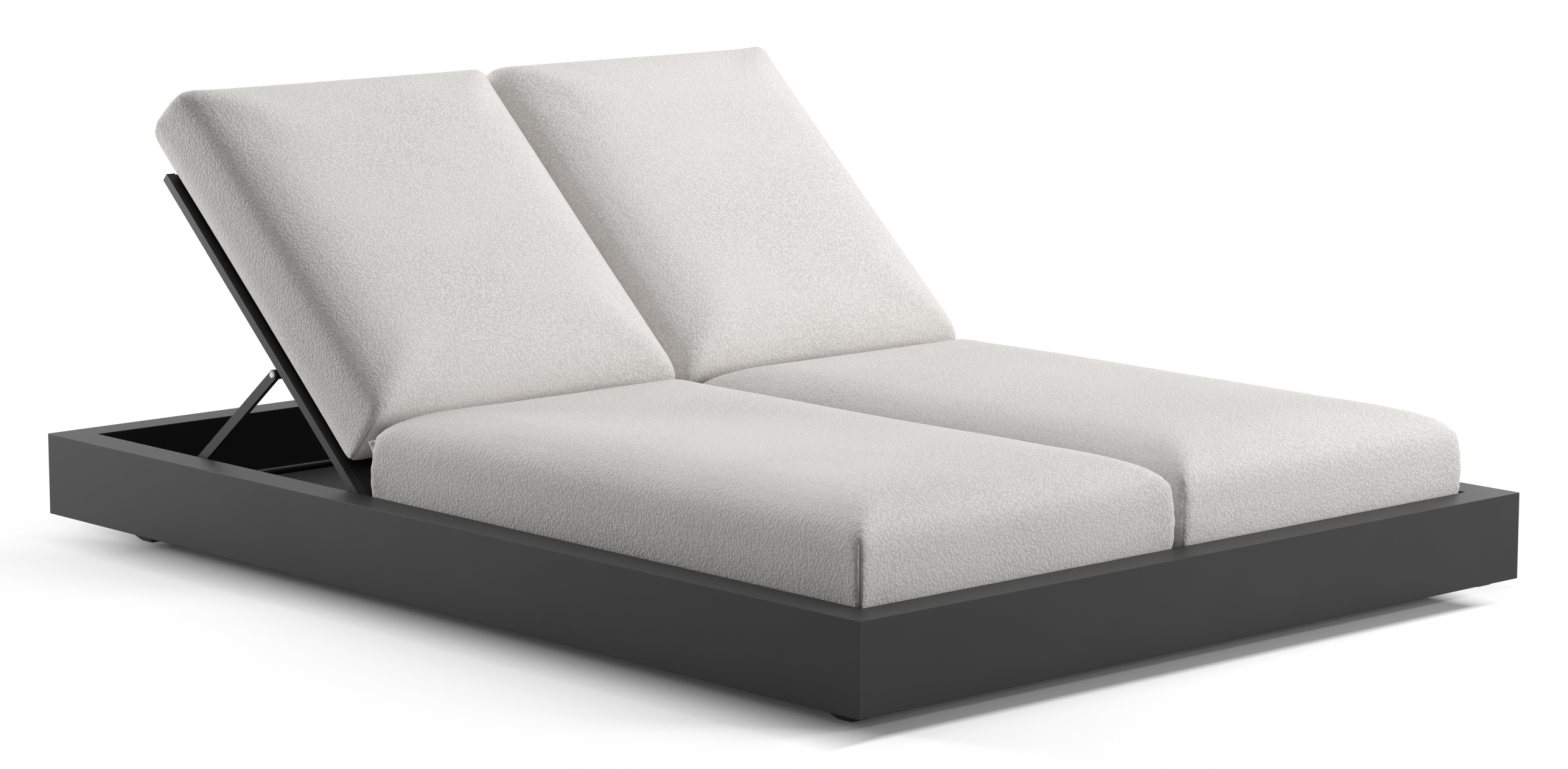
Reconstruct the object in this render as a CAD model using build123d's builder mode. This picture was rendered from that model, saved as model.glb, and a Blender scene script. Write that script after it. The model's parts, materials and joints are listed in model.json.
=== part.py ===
from build123d import *
from math import atan2, cos, degrees, hypot, radians, sin, sqrt
import os

os.makedirs("parts", exist_ok=True)

# Double chaise lounger, millimetres.
# X runs across the two places, Y runs from the foot end to the head end, Z is up.
# The origin is on the ground under the middle of the base frame.
# Each place has its own backrest, which turns on pins behind the seat deck and is propped by a
# strut whose cross bar stands on two notched racks inside the base.

# Base frame: four hollow rails, mitred at the corners, on low pads
base_width = 1600
base_length = 2266
rail_height = 155
rail_width = 68
rail_wall = 3
pad_height = 15

# Decks inside the base: the seat deck, and a lower floor that the folded backs lie over
deck_recess = 58
deck_thickness = 3
deck_gap = 0.5
floor_recess = 118
floor_thickness = 3

# Beams, cross rails and angles that carry the decks
beam_width = 40
beam_wall = 3
cross_rail_width = 40
cross_rail_depth = 25
cross_rail_wall = 2.5
cross_rail_rows = 3
support_depth = 25
angle_width = 25
angle_wall = 3
ledge_width = 48
ledge_wall = 2.5
ledge_height = 5

# Drain slots in the seat decks and in the floor
slot_length = 90
slot_width = 12
slot_columns = 3
slot_spread_share = 0.8
drain_columns = 2
drain_rows = 3
drain_spread_share = 0.6

# Backrest frames
back_angle = 42.1
hinge_y = 192.5
hinge_setback = 11.5
back_tip_gap = 10.5
back_side_gap = 8
back_centre_gap = 16
back_rail_width = 18
back_rail_depth = 17
back_rail_wall = 2
solid_end = 24
member_start = 12
member_width = 18
member_wall = 2
panel_thickness = 3
stiffener_width = 20
stiffener_count = 3
stiffener_spread_share = 0.5
cap_thickness = 3
cap_plug = 12
cap_fit = 0.2

# Pins that join the backs to the base and the struts to the backs
pin_radius = 4
pin_fit = 0.05
pin_gap = 0.3
pin_head_radius = 7
pin_head_height = 3.6
pin_head_bevel = 2.2
nut_radius = 6.5
nut_height = 2.5
lug_thickness = 6
lug_radius = 9
lug_gap = 0.5

# Struts; the foot inset is how far the strut's foot stands from the head rail at rest
strut_foot_inset = 253.5
strut_pin_drop = 24.5
strut_width = 19
strut_thickness = 9.5
strut_gap = 0.5
strut_ratio = 1.874
bar_radius = 7
bar_wall = 2
sleeve_radius = 9
sleeve_length = 14
sleeve_fit = 0.05

# Racks and the screws that hold them
rack_thickness = 6
rack_flange = 25
rack_flange_thickness = 4
rack_inset = 6
rack_clearance = 0.6
notch_step = 9
notch_count = 5
notch_depth = 5
notch_ease = 0.5
screw_radius = 3
screw_fit = 0.1
screw_head_radius = 6
screw_head_height = 3
screw_tail = 5
screw_end_inset = 40

# Pads under the side rails
pad_size = 50
pad_chamfer = 9
pad_side_inset = 40
pad_foot_inset = 59
pad_head_inset = 292
pad_stem_width = 12
pad_stem_height = 12
pad_stem_fit = 0.1

# Seat cushions
seat_thickness = 220
seat_waist = 110
seat_roll = 42
seat_overhang = 21.5
seat_foot_gap = 0.5
seat_rim_overhang = 4
seat_centre_gap = 4.5
seat_corner = 15
seat_roundness = 4

# Back cushions
back_cushion_thickness = 200
back_cushion_waist = 60
back_cushion_roll = 32
back_cushion_foot_gap = 25.5
back_cushion_head_gap = 7.5
back_cushion_lift = 86
back_cushion_side_gap = 4
back_cushion_centre_gap = 3.5
back_cushion_corner = 14
back_cushion_roundness = 4.2

# Shares that shape every cushion: heights of its sections below and above its waist
lower_shares = (0, 0.08, 0.3, 0.6)
upper_shares = (0, 0.4, 0.64, 0.8, 0.9, 0.96, 0.995)
corner_growth_share = 0.25
corner_facets = 4
soft_gap = 0.3

# Levels
base_bottom = pad_height
rim_top = base_bottom + rail_height
deck_top = rim_top - deck_recess
deck_bottom = deck_top - deck_thickness
floor_top = rim_top - floor_recess
floor_bottom = floor_top - floor_thickness
beam_bottom = floor_bottom - support_depth
beam_depth = deck_bottom - beam_bottom
beam_middle = (deck_bottom + beam_bottom) / 2

# Plan places
half_width = base_width / 2
half_length = base_length / 2
inner_half_width = half_width - rail_width
inner_half_length = half_length - rail_width
hinge_rail_rear = hinge_y - hinge_setback
hinge_rail_front = hinge_rail_rear - beam_width
deck_outer = inner_half_width - deck_gap
deck_front = -inner_half_length + deck_gap
floor_rear = inner_half_length - deck_gap

# Backrest places, along the slope from the hinge axis and square to it
hinge_z = deck_top - back_rail_depth / 2
slope = radians(back_angle)
up_slope = Vector(0, cos(slope), sin(slope))
off_slope = Vector(0, -sin(slope), cos(slope))
hinge_point = Vector(0, hinge_y, hinge_z)
back_reach = inner_half_length - hinge_y - back_tip_gap
rail_end = back_reach - cap_thickness
rail_front = back_rail_depth / 2
rail_rear = -back_rail_depth / 2
panel_rear = rail_front - panel_thickness
member_depth = panel_rear - rail_rear
member_middle = (panel_rear + rail_rear) / 2
back_outer = inner_half_width - back_side_gap
back_inner = back_centre_gap / 2
panel_outer = back_outer - back_rail_width
panel_inner = back_inner + back_rail_width
place_middle = (panel_outer + panel_inner) / 2

# Strut places: the strut is as long as its pin is far from the hinge, so at rest its foot
# stands at the hinge's height, and half way to it lies under the pin
foot_reach = inner_half_length - strut_foot_inset - hinge_y
strut_pin_reach = (foot_reach / 2 - strut_pin_drop * sin(slope)) / cos(slope)
strut_length = hypot(strut_pin_reach, strut_pin_drop)
strut_fall = back_angle - degrees(atan2(strut_pin_drop, strut_pin_reach))
strut_direction = Vector(0, cos(radians(strut_fall)), -sin(radians(strut_fall)))
strut_pin = hinge_point + up_slope * strut_pin_reach - off_slope * strut_pin_drop

# Planes: in the slope plane x is across and y is up the slope; the side planes look along X
across = Vector(1, 0, 0)
lengthwise = Vector(0, 1, 0)
slope_plane = Plane(origin=hinge_point, x_dir=across, z_dir=off_slope)
slope_side = Plane(origin=hinge_point, x_dir=up_slope, z_dir=across)
strut_side = Plane(origin=strut_pin, x_dir=strut_direction, z_dir=across)
sides = {"left": -1, "right": 1}


def finish(part, name):
    part.label = name
    export_step(part, "parts/" + name + ".step")


def lowest_x(side, inner, outer):
    # the smaller x of a slab that lies between two distances from the centre line
    return inner if side > 0 else -outer


def box_tube(start, x_dir, direction, length, width, depth, wall):
    # a straight hollow bar, open at both ends
    with BuildPart() as tube:
        with BuildSketch(Plane(origin=start, x_dir=x_dir, z_dir=direction)):
            Rectangle(width, depth)
            Rectangle(width - 2 * wall, depth - 2 * wall, mode=Mode.SUBTRACT)
        extrude(amount=length)
    return tube.part


def foot_at(turn):
    # y and z of the strut's cross bar when the back has turned so many degrees from rest
    rise = radians(strut_fall + turn)
    fall = radians(strut_fall + (strut_ratio - 1) * turn)
    y = hinge_y + strut_length * (cos(rise) + cos(fall))
    z = hinge_z + strut_length * (sin(rise) - sin(fall))
    return (y, z)


# Base rails, with holes for the pads' stems in the side rails
pad_x = half_width - pad_side_inset
pad_rows = (-half_length + pad_foot_inset, half_length - pad_head_inset)


def rail_plan(inset, is_side, side):
    # the plan of a mitred rail, drawn in by its wall for the hollow
    outer_x = half_width - inset
    outer_y = half_length - inset
    inner_x = inner_half_width + inset
    inner_y = inner_half_length + inset
    if is_side:
        return [(side * outer_x, -outer_y), (side * outer_x, outer_y),
                (side * inner_x, inner_y), (side * inner_x, -inner_y)]
    return [(-outer_x, side * outer_y), (outer_x, side * outer_y),
            (inner_x, side * inner_y), (-inner_x, side * inner_y)]


def base_rail(is_side, side):
    with BuildPart() as rail:
        with BuildSketch(Plane.XY.offset(base_bottom)):
            with BuildLine():
                Polyline(*rail_plan(0, is_side, side), close=True)
            make_face()
        extrude(amount=rail_height)
        with BuildSketch(Plane.XY.offset(base_bottom + rail_wall)):
            with BuildLine():
                Polyline(*rail_plan(rail_wall, is_side, side), close=True)
            make_face()
        extrude(amount=rail_height - 2 * rail_wall, mode=Mode.SUBTRACT)
        if is_side:
            with BuildSketch(Plane.XY.offset(base_bottom)):
                with Locations(*[(side * pad_x, y) for y in pad_rows]):
                    Rectangle(pad_stem_width + 2 * pad_stem_fit, pad_stem_width + 2 * pad_stem_fit)
            extrude(amount=rail_wall, mode=Mode.SUBTRACT)
    return rail.part


for name, side in sides.items():
    finish(base_rail(True, side), "side_rail_" + name)
finish(base_rail(False, -1), "foot_rail")
finish(base_rail(False, 1), "head_rail")

# Pads under the side rails, each with a stem pushed into its hole
pad_places = [(side * pad_x, y) for side in sides.values() for y in pad_rows]
with BuildPart() as pads:
    with BuildSketch(Plane.XY):
        with Locations(*pad_places):
            Rectangle(pad_size, pad_size)
    extrude(amount=pad_height)
    chamfer(pads.edges().group_by(Axis.Z)[0], length=pad_chamfer)
    with BuildSketch(Plane.XY.offset(pad_height)):
        with Locations(*pad_places):
            Rectangle(pad_stem_width, pad_stem_width)
    extrude(amount=pad_stem_height)
finish(pads.part, "pads")

# Beam under the seat, rail that carries the hinges, and rib under the floor
centre_beam = box_tube(Vector(0, -inner_half_length, beam_middle), across, lengthwise,
                       hinge_rail_front + inner_half_length, beam_width, beam_depth, beam_wall)
finish(centre_beam, "centre_beam")

hinge_rail_start = Vector(-inner_half_width, (hinge_rail_front + hinge_rail_rear) / 2, beam_middle)
hinge_rail = box_tube(hinge_rail_start, lengthwise, across, 2 * inner_half_width,
                      beam_width, beam_depth, beam_wall)
finish(hinge_rail, "hinge_rail")

centre_rib = box_tube(Vector(0, hinge_rail_rear, floor_bottom - support_depth / 2), across,
                      lengthwise, inner_half_length - hinge_rail_rear,
                      beam_width, support_depth, beam_wall)
finish(centre_rib, "centre_rib")

# Cross rails from the beam to each side rail; the first row lies along the foot rail
first_row = -inner_half_length + cross_rail_width / 2
row_step = (hinge_rail_front - first_row) / cross_rail_rows
for name, side in sides.items():
    for row in range(cross_rail_rows):
        start = Vector(lowest_x(side, beam_width / 2, inner_half_width), first_row + row * row_step,
                       deck_bottom - cross_rail_depth / 2)
        cross_rail = box_tube(start, lengthwise, across, inner_half_width - beam_width / 2,
                              cross_rail_width, cross_rail_depth, cross_rail_wall)
        finish(cross_rail, "cross_rail_" + name + "_" + str(row + 1))

# Racks: where they stand, and the screws through their flanges
rack_outer = panel_outer - rack_inset
rack_inner = panel_inner + rack_inset
rack_ends = (foot_at(notch_step * notch_count / 2)[0], foot_at(-notch_step * notch_count / 2)[0])
rack_screw_rows = (rack_ends[0] + screw_end_inset, rack_ends[1] - screw_end_inset)
flange_middle = (rack_thickness + rack_flange) / 2
rack_screw_columns = (rack_outer - flange_middle, rack_inner + flange_middle)


def rack_screw_places(side):
    return [(side * x, y) for x in rack_screw_columns for y in rack_screw_rows]


# Seat decks and floor sheets with drain slots, and with holes for the racks' screws in the floor
deck_middle_x = (deck_gap + deck_outer) / 2
deck_width = deck_outer - deck_gap
deck_length = hinge_rail_rear - deck_front
floor_length = floor_rear - hinge_rail_rear
for name, side in sides.items():
    with BuildPart() as deck:
        with BuildSketch(Plane.XY.offset(deck_bottom)):
            with Locations((side * deck_middle_x, (deck_front + hinge_rail_rear) / 2)):
                Rectangle(deck_width, deck_length)
            with Locations((side * deck_middle_x, first_row + row_step * cross_rail_rows / 2)):
                with GridLocations(deck_width * slot_spread_share / slot_columns, row_step,
                                   slot_columns, cross_rail_rows):
                    Rectangle(slot_length, slot_width, mode=Mode.SUBTRACT)
        extrude(amount=deck_thickness)
    finish(deck.part, "seat_deck_" + name)

    with BuildPart() as floor:
        with BuildSketch(Plane.XY.offset(floor_bottom)):
            with Locations((side * deck_middle_x, (hinge_rail_rear + floor_rear) / 2)):
                Rectangle(deck_width, floor_length)
                with GridLocations(deck_width * drain_spread_share / drain_columns,
                                   floor_length * drain_spread_share / drain_rows,
                                   drain_columns, drain_rows):
                    Rectangle(slot_length, slot_width, mode=Mode.SUBTRACT)
            with Locations(*rack_screw_places(side)):
                Circle(screw_radius + screw_fit, mode=Mode.SUBTRACT)
        extrude(amount=floor_thickness)
    finish(floor.part, "floor_sheet_" + name)

    # the angle on the side rail that carries the floor's outer edge
    with BuildPart() as floor_angle:
        with BuildSketch(Plane.XZ.offset(-inner_half_length)):
            with Locations((side * (inner_half_width - angle_wall / 2), floor_bottom - support_depth / 2)):
                Rectangle(angle_wall, support_depth)
            with Locations((side * (inner_half_width - angle_width / 2), floor_bottom - angle_wall / 2)):
                Rectangle(angle_width, angle_wall)
        extrude(amount=inner_half_length - hinge_rail_rear)
    finish(floor_angle.part, "floor_angle_" + name)

# Ledge along the head rail that holds the floor sheets down
with BuildPart() as head_ledge:
    with BuildSketch(Plane.YZ.offset(-deck_outer)):
        with BuildLine():
            Polyline((inner_half_length, floor_top), (inner_half_length, floor_top + ledge_height),
                     (inner_half_length - ledge_wall, floor_top + ledge_height),
                     (inner_half_length - ledge_wall, floor_top + ledge_wall),
                     (inner_half_length - ledge_width, floor_top + ledge_wall),
                     (inner_half_length - ledge_width, floor_top), close=True)
        make_face()
    extrude(amount=2 * deck_outer)
finish(head_ledge.part, "head_ledge")


def rack(side, plate_inner, plate_outer, flange_inner, flange_outer):
    # the top follows the path of the cross bar's underside, and each stop is a round notch
    half_steps = range(-notch_count, notch_count + 1)
    top = [foot_at(step * notch_step / 2) for step in half_steps]
    stops = [foot_at(step * notch_step / 2) for step in half_steps[1::2]]
    outline = [(y, z - sleeve_radius - rack_clearance) for y, z in top]
    with BuildPart() as plate:
        with BuildSketch(Plane.YZ.offset(lowest_x(side, plate_inner, plate_outer))):
            with BuildLine():
                Polyline((rack_ends[0], floor_top), (rack_ends[1], floor_top), *outline, close=True)
            make_face()
            with Locations(*[(y, z - notch_depth) for y, z in stops]):
                Circle(sleeve_radius + notch_ease, mode=Mode.SUBTRACT)
        extrude(amount=rack_thickness)
        with BuildSketch(Plane.XY.offset(floor_top)):
            with Locations((side * (flange_inner + flange_outer) / 2, (rack_ends[0] + rack_ends[1]) / 2)):
                Rectangle(flange_outer - flange_inner, rack_ends[1] - rack_ends[0])
            with Locations(*rack_screw_places(side)):
                Circle(screw_radius + screw_fit, mode=Mode.SUBTRACT)
        extrude(amount=rack_flange_thickness)
    return plate.part


for name, side in sides.items():
    outer_rack = rack(side, rack_outer - rack_thickness, rack_outer,
                      rack_outer - rack_flange, rack_outer - rack_thickness)
    finish(outer_rack, "rack_" + name + "_outer")
    inner_rack = rack(side, rack_inner, rack_inner + rack_thickness,
                      rack_inner + rack_thickness, rack_inner + rack_flange)
    finish(inner_rack, "rack_" + name + "_inner")

with BuildPart() as rack_screws:
    for side in sides.values():
        with BuildSketch(Plane.XY.offset(floor_top + rack_flange_thickness)):
            with Locations(*rack_screw_places(side)):
                RegularPolygon(screw_head_radius, 6)
        extrude(amount=screw_head_height)
        with BuildSketch(Plane.XY.offset(floor_bottom - screw_tail)):
            with Locations(*rack_screw_places(side)):
                Circle(screw_radius)
        extrude(amount=screw_tail + floor_thickness + rack_flange_thickness)
finish(rack_screws.part, "rack_screws")


def pivot_pin(centre_y, centre_z, head_x, tail_x, domed):
    # a pin along X with a domed or six-sided head at one end and a nut at the other
    way = 1 if head_x > tail_x else -1
    with BuildPart() as pin:
        with BuildSketch(Plane.YZ.offset(head_x)):
            with Locations((centre_y, centre_z)):
                if domed:
                    Circle(pin_head_radius)
                else:
                    RegularPolygon(pin_head_radius, 6)
        extrude(amount=way * pin_head_height)
        if domed:
            chamfer(pin.edges().sort_by(Axis.X)[-1 if way > 0 else 0], length=pin_head_bevel)
        with BuildSketch(Plane.YZ.offset(tail_x)):
            with Locations((centre_y, centre_z)):
                RegularPolygon(nut_radius, 6)
        extrude(amount=-way * nut_height)
        with BuildSketch(Plane.YZ.offset(tail_x)):
            with Locations((centre_y, centre_z)):
                Circle(pin_radius)
        extrude(amount=head_x - tail_x)
    return pin.part


# Hinge lugs on the hinge rail, beside the backs' side rails, and their pins
lug_places = ((panel_outer - lug_gap - lug_thickness, panel_outer - lug_gap),
              (panel_inner + lug_gap, panel_inner + lug_gap + lug_thickness))
with BuildPart() as hinge_lugs:
    for side in sides.values():
        for inner, outer in lug_places:
            with BuildSketch(Plane.YZ.offset(lowest_x(side, inner, outer))):
                with Locations((hinge_y, hinge_z)):
                    Circle(lug_radius)
                with Locations((hinge_y - hinge_setback / 2, hinge_z)):
                    Rectangle(hinge_setback, 2 * lug_radius)
                with Locations((hinge_y, hinge_z)):
                    Circle(pin_radius + pin_fit, mode=Mode.SUBTRACT)
            extrude(amount=lug_thickness)
finish(hinge_lugs.part, "hinge_lugs")

with BuildPart() as hinge_pins:
    for side in sides.values():
        add(pivot_pin(hinge_y, hinge_z, side * (back_outer + pin_gap),
                      side * (lug_places[0][0] - pin_gap), domed=False))
        add(pivot_pin(hinge_y, hinge_z, side * (back_inner - pin_gap),
                      side * (lug_places[1][1] + pin_gap), domed=False))
finish(hinge_pins.part, "hinge_pins")


# Backrest frames: side rails, end members, panel, stiffeners, strut lugs, pins and end caps
def back_rail(side, inner, outer):
    with BuildPart() as rail:
        with BuildSketch(slope_side.offset(lowest_x(side, inner, outer))):
            with Locations((rail_end / 2, 0)):
                Rectangle(rail_end, back_rail_depth)
            Circle(back_rail_depth / 2)
            Circle(pin_radius + pin_fit, mode=Mode.SUBTRACT)
        extrude(amount=back_rail_width)
        hollow_start = hinge_point + up_slope * solid_end + across * (side * (inner + outer) / 2)
        with BuildSketch(Plane(origin=hollow_start, x_dir=across, z_dir=up_slope)):
            Rectangle(back_rail_width - 2 * back_rail_wall, back_rail_depth - 2 * back_rail_wall)
        extrude(amount=rail_end - solid_end, mode=Mode.SUBTRACT)
    return rail.part


member_length = panel_outer - panel_inner
member_rows = {"bottom": member_start + member_width / 2, "top": rail_end - member_width / 2}
stiffener_start = member_start + member_width
stiffener_length = rail_end - member_width - stiffener_start
stiffener_step = member_length * stiffener_spread_share / (stiffener_count - 1)
strut_lug_thickness = back_rail_width - strut_thickness - strut_gap
strut_lug_places = ((panel_outer, panel_outer + strut_lug_thickness),
                    (panel_inner - strut_lug_thickness, panel_inner))

for name, side in sides.items():
    finish(back_rail(side, panel_outer, back_outer), "back_rail_" + name + "_outer")
    finish(back_rail(side, back_inner, panel_inner), "back_rail_" + name + "_inner")

    for end, row in member_rows.items():
        start = (hinge_point + up_slope * row + off_slope * member_middle
                 + across * lowest_x(side, panel_inner, panel_outer))
        member = box_tube(start, up_slope, across, member_length, member_width, member_depth, member_wall)
        finish(member, "back_" + end + "_member_" + name)

    with BuildPart() as panel:
        with BuildSketch(slope_plane.offset(panel_rear)):
            with Locations((side * place_middle, (member_start + rail_end) / 2)):
                Rectangle(member_length, rail_end - member_start)
        extrude(amount=panel_thickness)
    finish(panel.part, "back_panel_" + name)

    with BuildPart() as stiffeners:
        for column in range(stiffener_count):
            x = side * place_middle + (column - (stiffener_count - 1) / 2) * stiffener_step
            start = hinge_point + up_slope * stiffener_start + off_slope * member_middle + across * x
            add(box_tube(start, across, up_slope, stiffener_length,
                         stiffener_width, member_depth, member_wall))
    finish(stiffeners.part, "back_stiffeners_" + name)

    with BuildPart() as strut_lugs:
        for inner, outer in strut_lug_places:
            with BuildSketch(slope_side.offset(lowest_x(side, inner, outer))):
                with Locations((strut_pin_reach, -strut_pin_drop)):
                    Circle(lug_radius)
                with Locations((strut_pin_reach, (rail_rear - strut_pin_drop) / 2)):
                    Rectangle(2 * lug_radius, rail_rear + strut_pin_drop)
                with Locations((strut_pin_reach, -strut_pin_drop)):
                    Circle(pin_radius + pin_fit, mode=Mode.SUBTRACT)
            extrude(amount=strut_lug_thickness)
    finish(strut_lugs.part, "strut_lugs_" + name)

    with BuildPart() as strut_pins:
        add(pivot_pin(strut_pin.Y, strut_pin.Z, side * (back_outer + pin_gap),
                      side * (panel_outer - pin_gap), domed=True))
        add(pivot_pin(strut_pin.Y, strut_pin.Z, side * (back_inner - pin_gap),
                      side * (panel_inner + pin_gap), domed=True))
    finish(strut_pins.part, "strut_pins_" + name)

    with BuildPart() as caps:
        for middle in ((panel_outer + back_outer) / 2, (back_inner + panel_inner) / 2):
            cap_base = hinge_point + up_slope * rail_end + across * (side * middle)
            with BuildSketch(Plane(origin=cap_base, x_dir=across, z_dir=up_slope)):
                Rectangle(back_rail_width, back_rail_depth)
            extrude(amount=cap_thickness)
            with BuildSketch(Plane(origin=cap_base, x_dir=across, z_dir=up_slope)):
                Rectangle(back_rail_width - 2 * (back_rail_wall + cap_fit),
                          back_rail_depth - 2 * (back_rail_wall + cap_fit))
            extrude(amount=-cap_plug)
    finish(caps.part, "back_caps_" + name)

# Struts: two flat legs joined at the foot by a cross bar with a sleeve over each rack
leg_places = {"outer": (back_outer - strut_thickness, back_outer),
              "inner": (back_inner, back_inner + strut_thickness)}
bar_length = leg_places["outer"][0] - leg_places["inner"][1]
sleeve_middles = (rack_outer - rack_thickness / 2, rack_inner + rack_thickness / 2)

for name, side in sides.items():
    for place, (inner, outer) in leg_places.items():
        with BuildPart() as leg:
            with BuildSketch(strut_side.offset(lowest_x(side, inner, outer))):
                with Locations((strut_length / 2, 0)):
                    SlotCenterToCenter(strut_length, strut_width)
                Circle(pin_radius + pin_fit, mode=Mode.SUBTRACT)
            extrude(amount=strut_thickness)
        finish(leg.part, "strut_leg_" + name + "_" + place)

    bar_start = lowest_x(side, leg_places["inner"][1], leg_places["outer"][0])
    with BuildPart() as bar:
        with BuildSketch(strut_side.offset(bar_start)):
            with Locations((strut_length, 0)):
                Circle(bar_radius)
                Circle(bar_radius - bar_wall, mode=Mode.SUBTRACT)
        extrude(amount=bar_length)
    finish(bar.part, "strut_bar_" + name)

    with BuildPart() as sleeves:
        for middle in sleeve_middles:
            with BuildSketch(strut_side.offset(side * middle - sleeve_length / 2)):
                with Locations((strut_length, 0)):
                    Circle(sleeve_radius)
                    Circle(bar_radius + sleeve_fit, mode=Mode.SUBTRACT)
            extrude(amount=sleeve_length)
    finish(sleeves.part, "strut_sleeves_" + name)


# Cushions: each is a shell between level outlines, with a rolled lower edge, its full size at the
# waist, and a crown that follows a superellipse in from the edge to the middle
def cushion_outline(half_x, half_y, corner):
    turns = [radians(90 * step / corner_facets) for step in range(corner_facets + 1)]
    quarter = [(half_x - corner + corner * cos(turn), half_y - corner + corner * sin(turn))
               for turn in turns]
    back_again = quarter[::-1]
    return (quarter + [(-x, y) for x, y in back_again] + [(-x, -y) for x, y in quarter]
            + [(x, -y) for x, y in back_again])


def cushion(base, half_x, half_y, thickness, waist, roll, corner, roundness):
    lower = [(share * waist, roll * (1 - sqrt(1 - (1 - share) ** 2))) for share in lower_shares]
    crown = thickness - waist
    reach = min(half_x, half_y)
    upper = [(waist + share * crown, reach * (1 - (1 - share ** roundness) ** (1 / roundness)))
             for share in upper_shares]
    rings = [[base.from_local_coords(Vector(x, y, height))
              for x, y in cushion_outline(half_x - inset, half_y - inset,
                                          corner + corner_growth_share * inset)]
             for height, inset in lower + upper]
    walls = [Face(Wire.make_polygon([low[step - 1], low[step], high[step], high[step - 1]]))
             for low, high in zip(rings, rings[1:]) for step in range(len(low))]
    ends = [Face(Wire.make_polygon(ring)) for ring in (rings[0], rings[-1])]
    with BuildPart() as pad:
        add(Solid(Shell(walls + ends)))
    return pad.part


seat_outer = inner_half_width + seat_rim_overhang
seat_half_x = (seat_outer - seat_centre_gap) / 2
seat_foot = -inner_half_length + seat_foot_gap
seat_head = hinge_y + seat_overhang
seat_half_y = (seat_head - seat_foot) / 2

back_cushion_outer = inner_half_width - back_cushion_side_gap
back_cushion_half_x = (back_cushion_outer - back_cushion_centre_gap) / 2
back_cushion_start = seat_overhang + back_cushion_foot_gap + back_cushion_lift
back_cushion_room = inner_half_length - hinge_y - seat_overhang
back_cushion_half_y = (back_cushion_room - back_cushion_foot_gap - back_cushion_head_gap) / 2

for name, side in sides.items():
    seat_base = Plane(origin=(side * (seat_centre_gap + seat_half_x), (seat_foot + seat_head) / 2,
                              deck_top + soft_gap))
    seat_cushion = cushion(seat_base, seat_half_x, seat_half_y, seat_thickness, seat_waist, seat_roll,
                           seat_corner, seat_roundness)
    finish(seat_cushion, "seat_cushion_" + name)

    back_base = Plane(origin=hinge_point + up_slope * (back_cushion_start + back_cushion_half_y)
                      + off_slope * (rail_front + soft_gap)
                      + across * (side * (back_cushion_centre_gap + back_cushion_half_x)),
                      x_dir=across, z_dir=off_slope)
    back_cushion = cushion(back_base, back_cushion_half_x, back_cushion_half_y, back_cushion_thickness,
                           back_cushion_waist, back_cushion_roll, back_cushion_corner,
                           back_cushion_roundness)
    finish(back_cushion, "back_cushion_" + name)
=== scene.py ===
import json
import math

import bmesh
import bpy
import numpy as np
from mathutils import Matrix, Vector


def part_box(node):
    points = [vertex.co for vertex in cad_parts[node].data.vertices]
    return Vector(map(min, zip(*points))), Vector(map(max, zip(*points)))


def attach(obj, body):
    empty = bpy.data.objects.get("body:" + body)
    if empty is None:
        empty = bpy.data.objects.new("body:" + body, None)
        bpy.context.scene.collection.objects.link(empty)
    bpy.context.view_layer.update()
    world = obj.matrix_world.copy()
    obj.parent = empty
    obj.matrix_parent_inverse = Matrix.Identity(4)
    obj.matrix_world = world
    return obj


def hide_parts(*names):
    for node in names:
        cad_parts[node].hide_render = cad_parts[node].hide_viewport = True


scene = bpy.context.scene
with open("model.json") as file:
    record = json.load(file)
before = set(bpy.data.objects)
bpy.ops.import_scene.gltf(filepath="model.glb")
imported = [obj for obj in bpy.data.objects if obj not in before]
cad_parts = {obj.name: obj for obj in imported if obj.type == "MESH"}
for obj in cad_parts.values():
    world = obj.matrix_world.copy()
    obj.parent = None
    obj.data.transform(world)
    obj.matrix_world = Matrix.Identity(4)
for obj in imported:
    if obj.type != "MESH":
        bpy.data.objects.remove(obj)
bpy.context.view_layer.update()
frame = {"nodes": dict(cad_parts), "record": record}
print("frame loaded:", len(frame["nodes"]), "nodes")

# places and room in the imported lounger, in metres and degrees
lounger = {
    "hinge": (0.0, 0.1925, 0.1035),
    "backAngle": 42.1,
    "panelTop": 0.0088,
    "middleRoom": 0.0035,
    "neighbourRoom": 0.0016,
    "deckTop": 0.1123,
    "rimTop": 0.170,
    "rimSoftness": 0.004,
    "rimRoom": 0.0006,
    "innerHalfWidth": 0.732,
    "innerHalfLength": 1.065,
}
sides = {"left": -1, "right": 1}


def addObject(name, bm):
    mesh = bpy.data.meshes.new(name)
    bm.to_mesh(mesh)
    bm.free()
    piece = bpy.data.objects.new(name, mesh)
    scene.collection.objects.link(piece)
    return piece


# small steps that every material is put together from
mixSockets = {"FLOAT": (2, 3, 0), "RGBA": (6, 7, 2)}  # first, second, result


def feed(tree, value, socket):
    # a socket takes a link, a number, or a colour written without its alpha
    if isinstance(value, bpy.types.NodeSocket):
        tree.links.new(value, socket)
    elif socket.type == "RGBA":
        socket.default_value = (*value, 1)
    else:
        socket.default_value = value


def addMix(tree, kind, factor, first, second):
    mix = tree.nodes.new("ShaderNodeMix")
    mix.data_type = kind
    firstSocket, secondSocket, result = mixSockets[kind]
    feed(tree, factor, mix.inputs[0])
    feed(tree, first, mix.inputs[firstSocket])
    feed(tree, second, mix.inputs[secondSocket])
    return mix.outputs[result]


def addMath(tree, operation, *values):
    step = tree.nodes.new("ShaderNodeMath")
    step.operation = operation
    for value, socket in zip(values, step.inputs):
        feed(tree, value, socket)
    return step.outputs[0]


def mostOf(tree, values):
    most = values[0]
    for value in values[1:]:
        most = addMath(tree, "MAXIMUM", most, value)
    return most


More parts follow.
